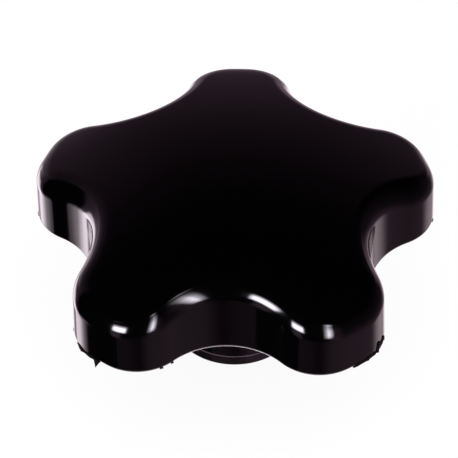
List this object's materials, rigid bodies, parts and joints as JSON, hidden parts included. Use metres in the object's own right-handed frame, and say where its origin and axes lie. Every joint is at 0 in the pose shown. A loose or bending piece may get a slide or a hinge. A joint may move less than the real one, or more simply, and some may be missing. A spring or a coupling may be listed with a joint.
{
  "type": "star knob",
  "caption": "Star knob: a glossy black moulded grip with a crowned lobed head and a long hub, holding a blind threaded brass bush that screws onto a stud.",
  "frame": {"origin": "centre of the hub's end face, at the mouth of the threaded hole", "axes": "+Z along the thread's axis, from the seat up to the crown; one lobe points along +Y"},
  "size_m": [0.0612, 0.0591, 0.0324],
  "materials": {
    "moulding": "gloss",
    "bush": "machined"
  },
  "bodies": {
    "root": {"knob_body": "moulding", "threaded_bush": "bush"}
  },
  "joints": []
}
